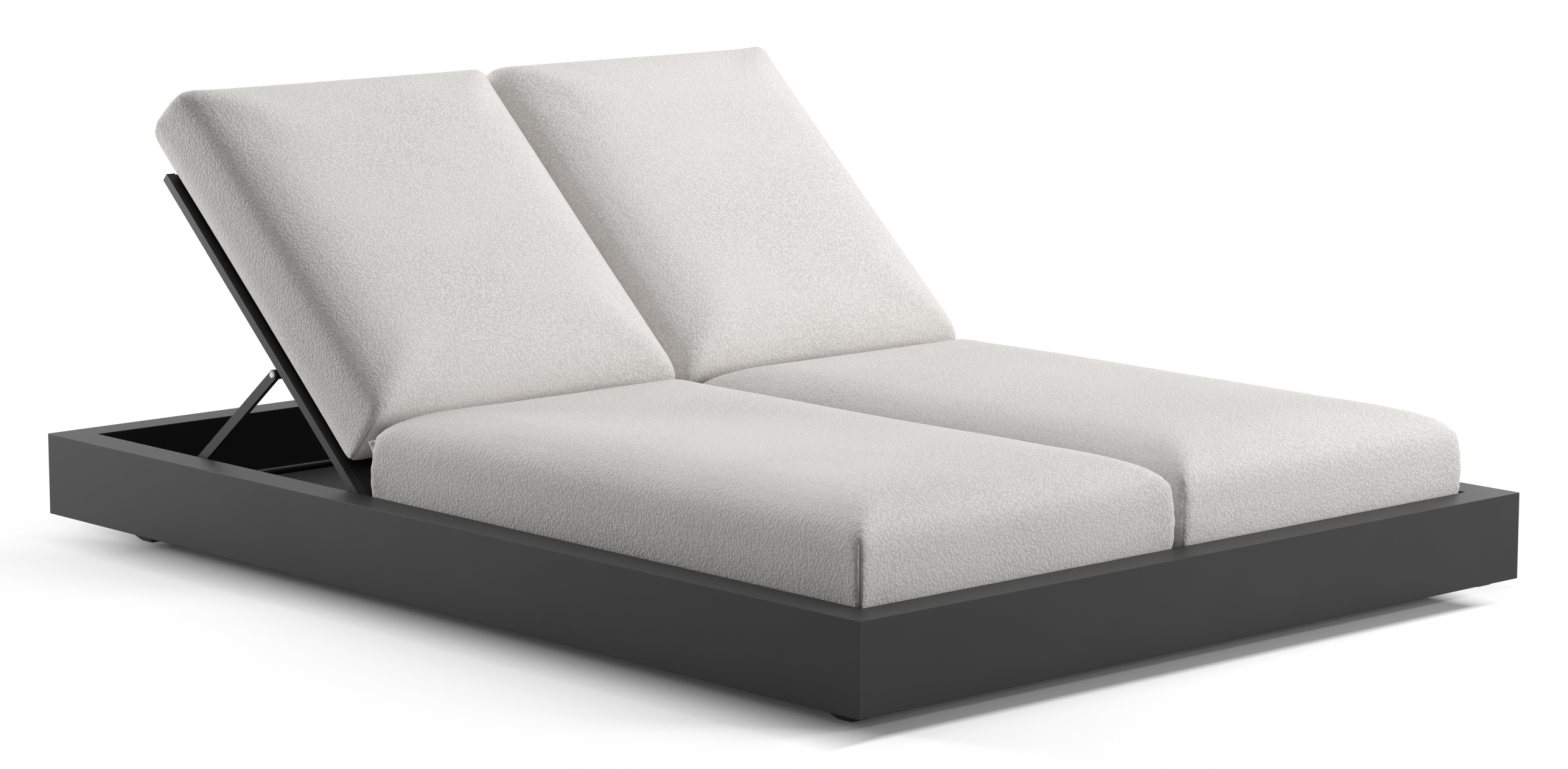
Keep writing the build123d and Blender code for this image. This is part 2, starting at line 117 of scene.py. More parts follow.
def addRange(tree, value, reach, result=(0.0, 1.0)):
    span = tree.nodes.new("ShaderNodeMapRange")
    names = ("From Min", "From Max", "To Min", "To Max")
    for name, limit in zip(names, (*reach, *result)):
        span.inputs[name].default_value = limit
    tree.links.new(value, span.inputs["Value"])
    return span.outputs["Result"]


def addNoise(tree, where, scale, detail, roughness=0.5, output="Fac"):
    grain = tree.nodes.new("ShaderNodeTexNoise")
    grain.inputs["Scale"].default_value = scale
    grain.inputs["Detail"].default_value = detail
    grain.inputs["Roughness"].default_value = roughness
    tree.links.new(where, grain.inputs["Vector"])
    return grain.outputs[output]


def addBump(tree, height, strength, distance):
    bump = tree.nodes.new("ShaderNodeBump")
    bump.inputs["Strength"].default_value = strength
    bump.inputs["Distance"].default_value = distance
    tree.links.new(height, bump.inputs["Height"])
    return bump.outputs["Normal"]


def addPattern(tree, stretch=(1, 1, 1)):
    # a pattern stays on its piece when the piece moves
    place = tree.nodes.new("ShaderNodeTexCoord")
    turn = tree.nodes.new("ShaderNodeMapping")
    turn.inputs["Scale"].default_value = stretch
    tree.links.new(place.outputs["Object"], turn.inputs["Vector"])
    return turn.outputs["Vector"]


def newMaterial(name):
    surface = bpy.data.materials.new(name)
    surface.use_nodes = True
    return surface, surface.node_tree.nodes["Principled BSDF"], surface.node_tree


# the camera comes early
cameraPlace = {
    "azimuth": -42.096,
    "elevation": 9.267,
    "eye": (-5.3654, -6.0135, 1.6292),
    "lens": 102.24,
    "sensorWidth": 36,
    "farthest": 200,
}


def addCamera():
    azimuth = math.radians(cameraPlace["azimuth"])
    elevation = math.radians(cameraPlace["elevation"])
    back = Vector((
        math.sin(azimuth) * math.cos(elevation),
        -math.cos(azimuth) * math.cos(elevation),
        math.sin(elevation),
    ))
    right = Vector((0, 0, 1)).cross(back).normalized()
    up = back.cross(right)
    data = bpy.data.cameras.new("camera")
    data.sensor_fit = "HORIZONTAL"
    data.sensor_width = cameraPlace["sensorWidth"]
    data.lens = cameraPlace["lens"]
    data.clip_end = cameraPlace["farthest"]
    camera = bpy.data.objects.new("camera", data)
    turn = Matrix((right, up, back)).transposed().to_4x4()
    camera.matrix_world = Matrix.Translation(cameraPlace["eye"]) @ turn
    scene.collection.objects.link(camera)
    scene.camera = camera
    print("camera ready")


studio = {
    "worldLight": 0.17,
    "lamps": {
        "keyLamp": {"at": (3.6, -2.4, 4.2), "aim": (0, 0, 0.2), "size": 2.6, "power": 100},
        "topLamp": {"at": (0.4, 0.5, 4.6), "aim": (0.2, 0, 0), "size": 3.4, "power": 74},
        "headTopLamp": {"at": (0.2, 4.6, 3.4), "aim": (0, 0.3, 0.3), "size": 2.4, "power": 26},
        "headLeftLamp": {"at": (-2.6, 5.0, 1.2), "aim": (-0.4, 0.7, 0.4), "size": 2.0, "power": 212},
        "footRightLamp": {"at": (3.0, -4.8, 1.5), "aim": (0.4, -1.0, 0.2), "size": 2.0, "power": 142},
        "rightLamp": {"at": (4.6, 0.6, 1.7), "aim": (0.4, 0, 0.3), "size": 2.0, "power": 40},
    },
}


def addLamps():
    for name, spec in studio["lamps"].items():
        data = bpy.data.lights.new(name, "AREA")
        data.shape = "DISK"
        data.size = spec["size"]
        data.energy = spec["power"]
        lamp = bpy.data.objects.new(name, data)
        toLamp = Vector(spec["at"]) - Vector(spec["aim"])
        lamp.location = spec["at"]
        lamp.rotation_euler = toLamp.to_track_quat("Z", "Y").to_euler()
        scene.collection.objects.link(lamp)


def addSeenRays(tree):
    # 1 for the rays that see the white backdrop, 0 for those that only light the lounger
    path = tree.nodes.new("ShaderNodeLightPath")
    rays = ("Camera", "Glossy", "Transmission")
    return mostOf(tree, [path.outputs["Is " + ray + " Ray"] for ray in rays])


def addWorld():
    world = bpy.data.worlds.new("studioWorld")
    scene.world = world
    world.use_nodes = True
    tree = world.node_tree
    background = tree.nodes["Background"]
    level = addMix(tree, "FLOAT", addSeenRays(tree), studio["worldLight"], 1.0)
    feed(tree, (1, 1, 1), background.inputs["Color"])
    feed(tree, level, background.inputs["Strength"])


studioFloor = {
    "size": 140,
    "bounce": 0.45,
    "roughness": 0.9,
    "paintedShadowTones": (0.40, 1.26),
    # painted shadow: along an axis, where the floor's painted shadow starts to lift and where the
    # floor is full bright
    "paintedShadow": (
        ("X", -0.79, -0.94),
        ("Y", -1.180, -1.206),
        ("X", 0.60, 0.68),
        ("Y", 0.78, 1.08),
    ),
    # the least share of plain white glow, a painted lift of the shadow next to the base, and along an
    # axis, where it starts, where it ends, its most; on the right and at the head the glow paints
    # over the lamps' cast shadow
    "paintedShadowLift": 0.035,
    "runOut": (
        ("X", -0.92, -1.30, 1),
        ("Y", -1.253, -1.633, 1),
        ("X", 0.60, 0.69, 0.9),
        ("Y", 0.78, 1.08, 0.9),
        ("X", 0.83, 0.90, 1),
        ("Y", 1.163, 1.233, 1),
    ),
}


def floorPaintedShadow(tree, split):
    # painted shadow, set by the place on the floor: it reaches out on the left and at the foot, as if
    # light came from behind
    paintedShade = mostOf(tree, [
        addRange(tree, split.outputs[axis], (near, far), studioFloor["paintedShadowTones"])
        for axis, near, far in studioFloor["paintedShadow"]
    ])
    grey = tree.nodes.new("ShaderNodeCombineColor")
    for channel in ("Red", "Green", "Blue"):
        tree.links.new(paintedShade, grey.inputs[channel])
    return grey.outputs[0]


def floorWhite(tree, split):
    # farther away the floor runs out into plain white; nearer, the white glow is painted light that
    # lifts or covers the cast shadow
    return mostOf(tree, [
        addRange(tree, split.outputs[axis], (near, far), (studioFloor["paintedShadowLift"], most))
        for axis, near, far, most in studioFloor["runOut"]
    ])


def addFloor():
    bm = bmesh.new()
    bmesh.ops.create_grid(bm, x_segments=2, y_segments=2, size=studioFloor["size"] / 2)
    floor = addObject("studioFloor", bm)
    surface, shader, tree = newMaterial("studioFloor")
    seen = addSeenRays(tree)
    place = tree.nodes.new("ShaderNodeTexCoord")
    split = tree.nodes.new("ShaderNodeSeparateXYZ")
    tree.links.new(place.outputs["Object"], split.inputs[0])
    unseen = (studioFloor["bounce"],) * 3
    # the camera sees the floor with its painted shadow, and the light bounces off plain grey
    paintedShade = addMix(tree, "RGBA", seen, unseen, floorPaintedShadow(tree, split))
    feed(tree, paintedShade, shader.inputs["Base Color"])
    feed(tree, studioFloor["roughness"], shader.inputs["Roughness"])
    feed(tree, 0.0, shader.inputs["Specular IOR Level"])
    white = addMath(tree, "MULTIPLY", floorWhite(tree, split), seen)
    glow = tree.nodes.new("ShaderNodeEmission")
    either = tree.nodes.new("ShaderNodeMixShader")
    for source, socket in zip((white, shader.outputs[0], glow.outputs[0]), either.inputs):
        tree.links.new(source, socket)
    tree.links.new(either.outputs[0], tree.nodes["Material Output"].inputs["Surface"])
    floor.data.materials.append(surface)


def addStudio():
    scene.view_settings.view_transform = "Standard"
    addWorld()
    addLamps()
    addFloor()
    print("studio ready")


boucle = {
    "loop": (0.815, 0.795, 0.775),
    # painted shade in the hollows between the loops
    "hollow": (0.67, 0.645, 0.62),
    "tint": (0.79, 0.765, 0.745),
    # painted shade along the seam grooves
    "paintedSeamShade": (0.34, 0.33, 0.315),
    "roughness": 0.92,
    "swayScale": 300,
    "swayDetail": 1.0,
    "sway": 0.0020,
    "nubScale": 205,
    "nubSoftness": 0.45,
    "nubReach": (0.05, 0.75),
    "fibreScale": 620,
    "fibreDetail": 2.0,
    "fibreRoughness": 0.55,
    "fibreShare": 0.9,
    "hollowShadeReach": (0.62, 1.18),
    "driftScale": 4.0,
    "driftDetail": 2.0,
    "driftReach": (0.35, 0.7),
    "driftShare": 0.6,
    "bump": 0.42,
    "nubHeight": 0.0022,
    "sheen": 0.2,
    "sheenRoughness": 0.5,
    "gloss": 0.15,
}


def boucleFabric():
    surface, shader, tree = newMaterial("boucleFabric")
    where = addPattern(tree)
    swayed = tree.nodes.new("ShaderNodeVectorMath")
    swayed.operation = "MULTIPLY_ADD"
    sway = addNoise(tree, where, boucle["swayScale"], boucle["swayDetail"], output="Color")
    for value, socket in zip((sway, (boucle["sway"],) * 3, where), swayed.inputs):
        feed(tree, value, socket)
    nubs = tree.nodes.new("ShaderNodeTexVoronoi")
    nubs.feature = "SMOOTH_F1"
    nubs.inputs["Scale"].default_value = boucle["nubScale"]
    nubs.inputs["Smoothness"].default_value = boucle["nubSoftness"]
    tree.links.new(swayed.outputs["Vector"], nubs.inputs["Vector"])
    nubRise = addRange(tree, nubs.outputs["Distance"], boucle["nubReach"], (1.0, 0.0))
    fibres = addNoise(
        tree, where, boucle["fibreScale"], boucle["fibreDetail"], boucle["fibreRoughness"])
    relief = addMath(tree, "MULTIPLY_ADD", fibres, boucle["fibreShare"], nubRise)
    # painted shade: the hollows between the loops are darker than the loops, and the cloth's tint
    # drifts slowly
    paintedShade = addRange(tree, relief, boucle["hollowShadeReach"])
    cloth = addMix(tree, "RGBA", paintedShade, boucle["hollow"], boucle["loop"])
    drift = addNoise(tree, where, boucle["driftScale"], boucle["driftDetail"])
    cast = addRange(tree, drift, boucle["driftReach"], (0.0, boucle["driftShare"]))
    tinted = addMix(tree, "RGBA", cast, cloth, boucle["tint"])
    # the seam attribute carries the painted shade of the seam grooves
    seamShade = tree.nodes.new("ShaderNodeAttribute")
    seamShade.attribute_name = "seamShade"
    color = addMix(tree, "RGBA", seamShade.outputs["Fac"], tinted, boucle["paintedSeamShade"])
    feed(tree, color, shader.inputs["Base Color"])
    feed(tree, addBump(tree, relief, boucle["bump"], boucle["nubHeight"]), shader.inputs["Normal"])
    feed(tree, boucle["roughness"], shader.inputs["Roughness"])
    feed(tree, boucle["sheen"], shader.inputs["Sheen Weight"])
    feed(tree, boucle["sheenRoughness"], shader.inputs["Sheen Roughness"])
    feed(tree, boucle["gloss"], shader.inputs["Specular IOR Level"])
    return surface


powder = {
    "coat": (0.030, 0.030, 0.0302),
    "worn": (0.036, 0.036, 0.0362),
    "dark": (0.013, 0.013, 0.0132),
    "frameRoughness": 0.46,
    "innerRoughness": 0.55,
    "panelRoughness": 0.6,
    "cloudScale": 6.0,
    "cloudDetail": 4.0,
    "cloudReach": (0.3, 0.75),
    "speckScale": 1400,
    "speckDetail": 2.0,
    "speckReach": (0.3, 0.7),
    "smoother": 0.06,
    "rougher": 0.08,
    "bump": 0.12,
    "speckHeight": 0.0006,
    "gloss": 0.2,
}


def powderCoat(name, coat, worn, roughness):
    surface, shader, tree = newMaterial(name)
    where = addPattern(tree)
    cloud = addNoise(tree, where, powder["cloudScale"], powder["cloudDetail"])
    wear = addRange(tree, cloud, powder["cloudReach"])
    feed(tree, addMix(tree, "RGBA", wear, powder[coat], powder[worn]), shader.inputs["Base Color"])
    speck = addNoise(tree, where, powder["speckScale"], powder["speckDetail"])
    limits = (powder[roughness] - powder["smoother"], powder[roughness] + powder["rougher"])
    feed(tree, addRange(tree, speck, powder["speckReach"], limits), shader.inputs["Roughness"])
    feed(tree, addBump(tree, speck, powder["bump"], powder["speckHeight"]), shader.inputs["Normal"])
    feed(tree, powder["gloss"], shader.inputs["Specular IOR Level"])
    return surface


rubber = {
    "dark": (0.009, 0.009, 0.009),
    "pale": (0.02, 0.02, 0.02),
    "roughness": 0.7,
    "grainScale": 900,
    "grainDetail": 3.0,
    "bump": 0.3,
    "grainHeight": 0.0005,
}


def blackRubber():
    surface, shader, tree = newMaterial("blackRubber")
    grain = addNoise(tree, addPattern(tree), rubber["grainScale"], rubber["grainDetail"])
    color = addMix(tree, "RGBA", grain, rubber["dark"], rubber["pale"])
    feed(tree, color, shader.inputs["Base Color"])
    feed(tree, addBump(tree, grain, rubber["bump"], rubber["grainHeight"]), shader.inputs["Normal"])
    feed(tree, rubber["roughness"], shader.inputs["Roughness"])
    return surface


steel = {
    "dark": (0.34, 0.34, 0.345),
    "bright": (0.48, 0.48, 0.49),
    "brushStretch": (1, 1, 6),
    "brushScale": 700,
    "brushDetail": 3.0,
    "brushReach": (0.3, 0.7),
    "roughness": (0.3, 0.48),
}


def brightSteel():
    surface, shader, tree = newMaterial("brightSteel")
    where = addPattern(tree, steel["brushStretch"])
    brushed = addNoise(tree, where, steel["brushScale"], steel["brushDetail"])
    color = addMix(tree, "RGBA", brushed, steel["dark"], steel["bright"])
    roughness = addRange(tree, brushed, steel["brushReach"], steel["roughness"])
    feed(tree, color, shader.inputs["Base Color"])
    feed(tree, roughness, shader.inputs["Roughness"])
    feed(tree, 1.0, shader.inputs["Metallic"])
    return surface


finishes = {
    "fabric": boucleFabric(),
    "frame": powderCoat("charcoalPowderCoat", "coat", "worn", "frameRoughness"),
    "inner_frame": powderCoat("innerPowderCoat", "dark", "coat", "innerRoughness"),
    "panel": powderCoat("panelPowderCoat", "dark", "dark", "panelRoughness"),
    "rubber": blackRubber(),
    "steel": brightSteel(),
}
print("finishes ready:", len(finishes))


def paint(piece, finish):
    piece.data.materials.clear()
    piece.data.materials.append(finishes[finish])


def paintFrame():
    slots = {entry["node"]: entry["material_slot"] for entry in frame["record"]["subparts"]}
    for name, node in frame["nodes"].items():
        finish = "panel" if name.startswith("back_panel") else slots[name]
        for index in range(len(node.material_slots)):
            node.material_slots[index].material = finishes[finish]
    print("frame painted")


# the base rails are the CAD boxes again, with eased edges and mitred ends
baseRail = {"ease": 0.0013, "easeSegments": 3, "cornerEase": 0.0003}


def cutOff(bm, point, normal):
    cut = bmesh.ops.bisect_plane(
        bm, geom=bm.verts[:] + bm.edges[:] + bm.faces[:], plane_co=point, plane_no=normal,
        clear_outer=True)
    edges = [edge for edge in cut["geom_cut"] if isinstance(edge, bmesh.types.BMEdge)]
    bmesh.ops.holes_fill(bm, edges=edges)


def addRail(name, node, alongY, side):
    low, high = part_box(node)
    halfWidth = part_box("side_rail_right")[1].x
    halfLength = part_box("head_rail")[1].y
    bm = bmesh.new()
    bmesh.ops.create_cube(bm, size=1)
    bmesh.ops.scale(bm, vec=high - low, verts=bm.verts)
    bmesh.ops.translate(bm, vec=(low + high) / 2, verts=bm.verts)
    for end in (-1, 1):
        sx, sy = (side, end) if alongY else (end, side)
        corner = Vector((sx * halfWidth, sy * halfLength, 0))
        mitre = Vector((-sx, sy, 0)) if alongY else Vector((sx, -sy, 0))
        eased = corner * (1 - baseRail["cornerEase"] / corner.length)
        cutOff(bm, corner, mitre.normalized())
        cutOff(bm, eased, Vector((sx, sy, 0)).normalized())
    longEdges = [edge for edge in bm.edges
                 if edge.calc_length() > halfWidth and len(edge.link_faces) == 2]
    bmesh.ops.bevel(
        bm, geom=longEdges, offset=baseRail["ease"], segments=baseRail["easeSegments"],
        profile=0.5, affect="EDGES", material=-1)
    bmesh.ops.recalc_face_normals(bm, faces=bm.faces)
    rail = addObject(name, bm)
    paint(rail, "frame")
    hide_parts(node)
    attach(rail, "base")


def addRails():
    addRail("leftSideRail", "side_rail_left", True, -1)
    addRail("rightSideRail", "side_rail_right", True, 1)
    addRail("footRail", "foot_rail", False, -1)
    addRail("headRail", "head_rail", False, 1)
    print("base rails ready")


# a pair of values for a cushion's corners is (outer, inner) or, for the seam's top, (foot, head)
seatCushion = {
    "half": (0.36575, 0.63925),
    "height": 0.220,
    "waist": 0.110,
    "roll": 0.042,
    "corner": 0.015,
    "rounding": 4.0,
    "endBulge": 0.0015,
    "innerReach": 0.003,
    "seamTop": (0.166, 0.150),
    "cornerPush": (0.006, 0.003),
    "seamStrength": (1.0, 0.35),
    "crownPush": {"end": -1, "reach": 0.002},
    "ear": {"reach": 0.013, "low": 0.130, "high": 0.155, "lip": 0.0025},
    "seed": 11,
}
backCushion = {
    "half": (0.36225, 0.409),
    "height": 0.200,
    "waist": 0.060,
    "roll": 0.032,
    "corner": 0.014,
    "rounding": 4.2,
    "endBulge": 0.0020,
    "innerReach": 0.001,
    "seamTop": (0.130, 0.130),
    "cornerPush": (0.006, 0.004),
    "seamStrength": (1.0, 1.0),
    "crownPush": {"end": 1, "reach": 0.003},
    "start": 0.133,
    "seed": 31,
}

# what all four cushions share
pillow = {
    "cuts": 63,
    "faceLimit": 0.9999,
    "sideBulge": 0.0005,
    "slack": 0.004,
    "cornerGrowth": 0.12,
    "fill": 0.85,
}


def shapePillow(bm, spec):
    # every ring of the cube becomes a rounded outline, drawn in as it climbs
    halfX, halfY = spec["half"]
    reach = min(halfX, halfY)
    crown = spec["height"] - spec["waist"]
    power = spec["rounding"]
    slack = pillow["slack"]
    for vert in bm.verts:
        u, v, w = vert.co
        ring = max(abs(u), abs(v))
        if w > pillow["faceLimit"]:
            most = math.sin(ring * math.pi / 2)
            height = spec["waist"] + crown * max(0.0, 1 - most ** power) ** (1 / power)
            inset = reach * (1 - most)
        elif w < -pillow["faceLimit"]:
            height = 0.0
            inset = spec["roll"] + (reach - spec["roll"]) * (1 - ring)
        else:
            share = (w + 1) / 2
            height = share * spec["waist"]
            inset = spec["roll"] * (1 - math.sqrt(max(0.0, 1 - (1 - share) ** 2)))
        roomX, roomY = halfX - inset, halfY - inset
        if ring > 0:
            x, y = u / ring * roomX, v / ring * roomY
        else:
            x = y = 0.0
        radius = min(spec["corner"] + pillow["cornerGrowth"] * inset, roomX)
        pastX, pastY = abs(x) - (roomX - radius), abs(y) - (roomY - radius)
        if pastX > 0 and pastY > 0 and radius > 0:
            along = radius / math.hypot(pastX, pastY)
            x = math.copysign(roomX - radius + pastX * along, x)
            y = math.copysign(roomY - radius + pastY * along, y)
        # the sides stand back a little where the cloth will swell
        near = ring ** 2
        shareX, shareY = min(1.0, abs(x) / halfX), min(1.0, abs(y) / halfY)
        bulgeX = pillow["sideBulge"] * shareY ** 2 + slack * (1 - shareY ** 2)
        bulgeY = spec["endBulge"] * shareX ** 2 + slack * (1 - shareX ** 2)
        x -= math.copysign(bulgeX * near, x) if x else 0.0
        y -= math.copysign(bulgeY * near, y) if y else 0.0
        if w > pillow["faceLimit"]:
            height -= slack * (1 - ring ** 4)
        vert.co = (x, y, height)


swelling = {
    "voxel": 0.011,
    "heldVoxels": 1.2,
    "cornerZone": 0.06,
    "cornerHold": 0.9,
    "quality": 3,
    "mass": 0.35,
    "stretchStiffness": 22,
    "shearStiffness": 8,
    "bendStiffness": 4.0,
    "pressure": 4.0,
    "frames": 20,
    "mostMove": 0.004,
    "evenRounds": 14,
    "evenShare": 0.5,
    "leastLength": 1e-9,
}


def holdDown(piece, points, spec):
    # the sole is held, and the corners nearly so
    held = piece.vertex_groups.new(name="held")
    sole = points[:, 2] < swelling["voxel"] * swelling["heldVoxels"]
    held.add([int(i) for i in np.nonzero(sole)[0]], 1.0, "REPLACE")
    fromCorner = np.abs(points[:, :2]) - np.array(spec["half"])
    nearCorner = np.abs(fromCorner[:, 0] - fromCorner[:, 1]) < swelling["voxel"]
    nearCorner &= fromCorner[:, 0] > -swelling["cornerZone"]
    nearCorner &= points[:, 2] < min(spec["seamTop"])
    held.add([int(i) for i in np.nonzero(nearCorner)[0]], swelling["cornerHold"], "REPLACE")


def addCloth(piece):
    cloth = piece.modifiers.new("cloth", "CLOTH")
    settings = cloth.settings
    settings.quality = swelling["quality"]
    settings.mass = swelling["mass"]
    settings.tension_stiffness = swelling["stretchStiffness"]
    settings.compression_stiffness = swelling["stretchStiffness"]
    settings.shear_stiffness = swelling["shearStiffness"]
    settings.bending_stiffness = swelling["bendStiffness"]
    settings.use_pressure = True
    settings.uniform_pressure_force = swelling["pressure"]
    settings.effector_weights.gravity = 0
    settings.vertex_group_mass = "held"
    cloth.collision_settings.use_collision = False
    return cloth


def blowUp(piece, spec):
    remesh = piece.modifiers.new("remesh", "REMESH")
    remesh.mode = "VOXEL"
    remesh.voxel_size = swelling["voxel"]
    applyModifiers(piece)
    before = readPoints(piece)
    holdDown(piece, before, spec)
    cloth = addCloth(piece)
    for step in range(1, swelling["frames"] + 1):
        scene.frame_set(step)
    shown = piece.evaluated_get(bpy.context.evaluated_depsgraph_get())
    move = meshPoints(shown.data) - before
    piece.modifiers.remove(cloth)
    piece.vertex_groups.clear()
    most = swelling["mostMove"]
    length = np.linalg.norm(move, axis=1, keepdims=True)
    limited = move * most * np.tanh(length / most) / np.maximum(length, swelling["leastLength"])
    writePoints(piece, before + evenOut(piece.data, limited))
    scene.frame_set(1)
    print("blown up:", piece.name, len(before), "points, mean move mm",
          round(float(length.mean()) * 1000, 1))


def evenOut(mesh, move):
    # neighbouring points share their moves, so tight wrinkles go and the broad swell stays
    ends = np.zeros(len(mesh.edges) * 2, np.int32)
    mesh.edges.foreach_get("vertices", ends)
    first, second = ends[0::2], ends[1::2]
    count = len(move)
    neighbours = np.bincount(first, minlength=count) + np.bincount(second, minlength=count)
    share = swelling["evenShare"]
    for _ in range(swelling["evenRounds"]):
        total = np.stack([
            np.bincount(first, move[second, axis], count)
            + np.bincount(second, move[first, axis], count)
            for axis in range(3)
        ], axis=1)
        move = (1 - share) * move + share * total / np.maximum(neighbours, 1)[:, None]
    return move


def meshPoints(mesh):
    points = np.zeros(len(mesh.vertices) * 3, np.float32)
    mesh.vertices.foreach_get("co", points)
    return points.reshape(-1, 3)


def readPoints(piece):
    return meshPoints(piece.data).astype(float)


def writePoints(piece, points):
    piece.data.vertices.foreach_set("co", points.astype(np.float32).ravel())
    piece.data.update()


def applyModifiers(piece):
    shown = piece.evaluated_get(bpy.context.evaluated_depsgraph_get())
    fresh = bpy.data.meshes.new_from_object(shown)
    piece.modifiers.clear()
    old = piece.data
    piece.data = fresh
    bpy.data.meshes.remove(old)


lumps = {"waves": 9, "pitch": (5, 13), "phase": 6.28, "size": 0.0028, "start": 0.08, "rise": 0.08}


def addLumps(piece, seed):
    # slow swells, so that no two cushions are quite alike
    points = readPoints(piece)
    rng = np.random.default_rng(seed)
    lift = np.zeros(len(points))
    for _ in range(lumps["waves"]):
        wave = rng.normal(0, 1, 2)
        wave *= rng.uniform(*lumps["pitch"]) / np.linalg.norm(wave)
        phase = rng.uniform(0, lumps["phase"])
        lift += np.sin(points[:, 0] * wave[0] + points[:, 1] * wave[1] + phase) / lumps["waves"]
    onTop = np.clip((points[:, 2] - lumps["start"]) / lumps["rise"], 0, 1)
    points[:, 2] += lift * lumps["size"] * onTop
    writePoints(piece, points)


# "above" and "below" are measured from the top of the seam
sewing = {
    "cuts": (-2.4, -1, 0, 1, 2.4),
    "halfWidth": 0.0021,
    "cutReach": 0.10,
    "cutWeld": 0.0004,
    "above": 0.03,
    "reach": 0.13,
    "sole": 0.002,
    "depth": 0.0024,
    "grooveShare": 1.1,
    "fadeAbove": 0.012,
    "fadeLength": 0.045,
    "edgeReach": 0.013,
    "edgeFoot": 0.03,
    "edgeBelow": 0.01,
    "edgeEnd": 0.07,
    "pucker": 0.0006,
    "puckerPitch": 230,
    "puckerReach": 0.016,
    # width and edge of the painted seam shade
    "seamShadeShare": 1.02,
    "seamShadeEdge": 1.5,
    "crownReach": 0.055,
    "crownStart": 0.08,
    "crownRise": 0.05,
    "crownLift": 0.7,
    "flapCuts": (0, 0.25, 0.5, 0.75, 1),
    "flapCutReach": 0.04,
    "flapHalfWidth": 0.0022,
    "flapHides": 0.002,
}


def ramp(value):
    return min(1.0, max(0.0, value))


def bell(distance, reach):
    return math.exp(-(distance / reach) ** 2)


def cutNear(bm, corner, reach, top, point, normal):
    near = [face for face in bm.faces
            if (face.calc_center_median() - corner).xy.length < reach
            and face.calc_center_median().z < top]
    edges = list({edge for face in near for edge in face.edges})
    verts = list({vert for face in near for vert in face.verts})
    bmesh.ops.bisect_plane(
        bm, geom=edges + verts + near, plane_co=point, plane_no=normal, dist=sewing["cutWeld"])


def cutSeam(bm, corner, across, top, ear):
    # the mesh gets lines to fold along: down the seam, and level ones for the corner's flap
    above = top + sewing["above"]
    for offset in sewing["cuts"]:
        line = corner + across * offset * sewing["halfWidth"]
        cutNear(bm, corner, sewing["cutReach"], above, line, across)
    if ear:
        levels = [ear["low"] + share * (ear["high"] - ear["low"]) for share in sewing["flapCuts"]]
        for level in (*levels, ear["high"] + ear["lip"]):
            line = Vector((0, 0, level))
            cutNear(bm, corner, sewing["flapCutReach"], above, line, Vector((0, 0, 1)))


def flapAt(ear, height, aside):
    if not ear or not ear["low"] < height < ear["high"] + ear["lip"]:
        return 0.0
    rise = (height - ear["low"]) / (ear["high"] - ear["low"])
    drop = (ear["high"] + ear["lip"] - height) / ear["lip"]
    return ear["reach"] * min(rise, drop, 1.0) * bell(aside, sewing["flapHalfWidth"])


def sewCorners(bm, spec, side):
    # each corner is drawn out to an edge, cut along its diagonal, and the cut line is drawn in; a
    # painted shade line darkens the seam's groove
    halfX, halfY = spec["half"]
    width = sewing["halfWidth"]
    layer = bm.verts.layers.float.new("seamShade")
    for sx in (-1, 1):
        for sy, top in zip((-1, 1), spec["seamTop"]):
            across = Vector((sx, -sy, 0)).normalized()
            inward = Vector((-sx, -sy, 0)).normalized()
            corner = Vector((sx * halfX, sy * halfY, 0))
            outer = sx == side
            strength = spec["seamStrength"][0 if outer else 1]
            push = spec["cornerPush"][0 if outer else 1]
            crown = spec["crownPush"] if outer and sy == spec["crownPush"]["end"] else None
            ear = spec.get("ear") if outer and sy > 0 else None
            cutSeam(bm, corner, across, top, ear)
            for vert in bm.verts:
                here = vert.co - corner
                height = vert.co.z
                if here.xy.length > sewing["reach"] or height < sewing["sole"]:
                    continue
                if crown:
                    full = bell(here.xy.length, sewing["crownReach"]) \
                        * ramp((height - sewing["crownStart"]) / sewing["crownRise"])
                    outward = Vector((0, 0, sewing["crownLift"])) - inward
                    vert.co += outward * crown["reach"] * full
                if height > top + sewing["above"]:
                    continue
                aside = abs(here.dot(across))
                fade = ramp((top + sewing["fadeAbove"] - height) / sewing["fadeLength"])
                edge = bell(aside, sewing["edgeReach"]) * ramp(height / sewing["edgeFoot"]) \
                    * ramp((top - sewing["edgeBelow"] - height) / (top - sewing["edgeEnd"]))
                groove = bell(aside, width * sewing["grooveShare"]) * fade * strength
                wave = math.sin(height * sewing["puckerPitch"] + sx * 2 + sy)
                pucker = sewing["pucker"] * wave * math.exp(-aside / sewing["puckerReach"]) * fade
                flap = flapAt(ear, height, aside)
                vert.co += inward * (sewing["depth"] * groove - push * edge + pucker - flap)
                # painted shade across the seam, strongest on its line
                seamShadeProfile = ramp(1 - aside / (width * sewing["seamShadeShare"])) ** sewing["seamShadeEdge"]
                if flap < sewing["flapHides"]:
                    vert[layer] = max(vert[layer], fade * strength * seamShadeProfile)


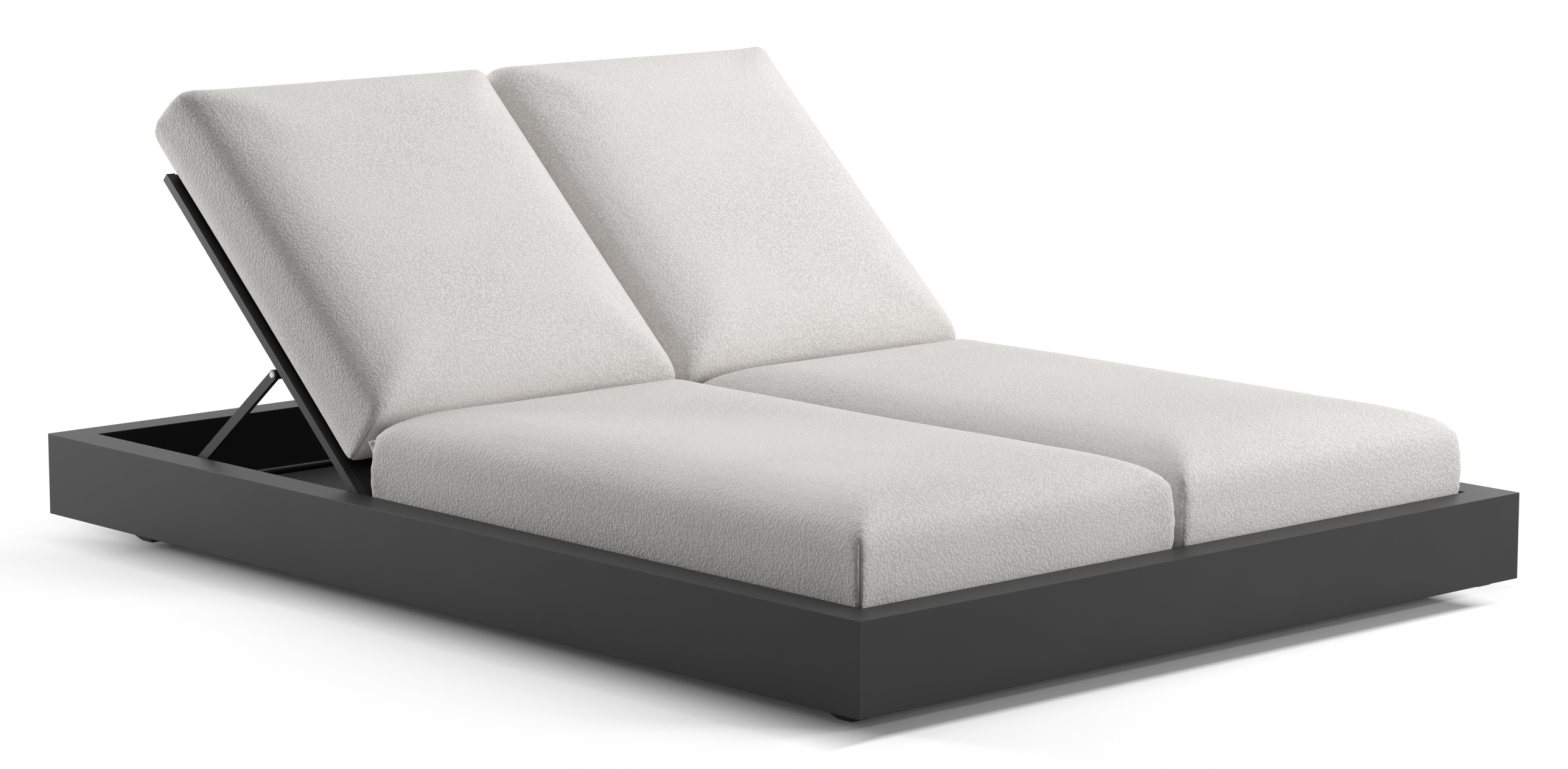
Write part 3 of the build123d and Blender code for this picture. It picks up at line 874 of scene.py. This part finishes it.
def easeInside(points, spec, side):
    # the rim, the neighbour and the deck hold the cushion in
    if spec is seatCushion:
        wall = lounger["innerHalfWidth"] - lounger["rimRoom"]
        foot = -lounger["innerHalfLength"] + lounger["rimRoom"]
        low = points[:, 2] < lounger["rimTop"] + lounger["rimSoftness"]
        past = low & (np.abs(points[:, 0]) > wall)
        points[:, 0] = np.where(past, side * wall, points[:, 0])
        points[:, 1] = np.where(low, np.maximum(points[:, 1], foot), points[:, 1])
        points[:, 2] = np.maximum(points[:, 2], lounger["deckTop"])
    points[:, 0] = side * np.maximum(side * points[:, 0], lounger["neighbourRoom"])
    return points


def placeCushion(piece, spec, place, side):
    halfX, halfY = spec["half"]
    points = readPoints(piece)
    points[:, 0] -= side * spec["innerReach"] * (0.5 - side * points[:, 0] / (2 * halfX))
    if spec is seatCushion:
        low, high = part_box("seat_cushion_" + place)
        points += np.array([(low.x + high.x) / 2, (low.y + high.y) / 2, lounger["deckTop"]])
    else:
        slope = math.radians(lounger["backAngle"])
        across = np.array([1.0, 0, 0])
        up = np.array([0, math.cos(slope), math.sin(slope)])
        off = np.array([0, -math.sin(slope), math.cos(slope)])
        points = (np.array(lounger["hinge"])
                  + np.outer(points[:, 1] + spec["start"] + halfY, up)
                  + np.outer(points[:, 2] + lounger["panelTop"], off)
                  + np.outer(points[:, 0] + side * (lounger["middleRoom"] + halfX), across))
    writePoints(piece, easeInside(points, spec, side))


def addCushion(spec, kind, place, side):
    name = kind + place.capitalize()
    bm = bmesh.new()
    bmesh.ops.create_cube(bm, size=2)
    bmesh.ops.subdivide_edges(bm, edges=bm.edges, cuts=pillow["cuts"], use_grid_fill=True)
    shapePillow(bm, spec)
    bmesh.ops.recalc_face_normals(bm, faces=bm.faces)
    piece = addObject(name, bm)
    blowUp(piece, spec)
    addLumps(piece, spec["seed"] + side)
    rounder = piece.modifiers.new("rounder", "SUBSURF")
    rounder.levels = rounder.render_levels = 1
    applyModifiers(piece)
    bm = bmesh.new()
    bm.from_mesh(piece.data)
    sewCorners(bm, spec, side)
    for face in bm.faces:
        face.smooth = True
    bm.to_mesh(piece.data)
    bm.free()
    placeCushion(piece, spec, place, side)
    paint(piece, "fabric")
    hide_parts(("seat_cushion_" if spec is seatCushion else "back_cushion_") + place)
    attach(piece, "base" if spec is seatCushion else "cushion_" + place)
    print("cushion ready:", name, len(piece.data.polygons), "faces")


addCamera()
addStudio()
paintFrame()
addRails()
for place, side in sides.items():
    addCushion(seatCushion, "seatCushion", place, side)
    addCushion(backCushion, "backCushion", place, side)
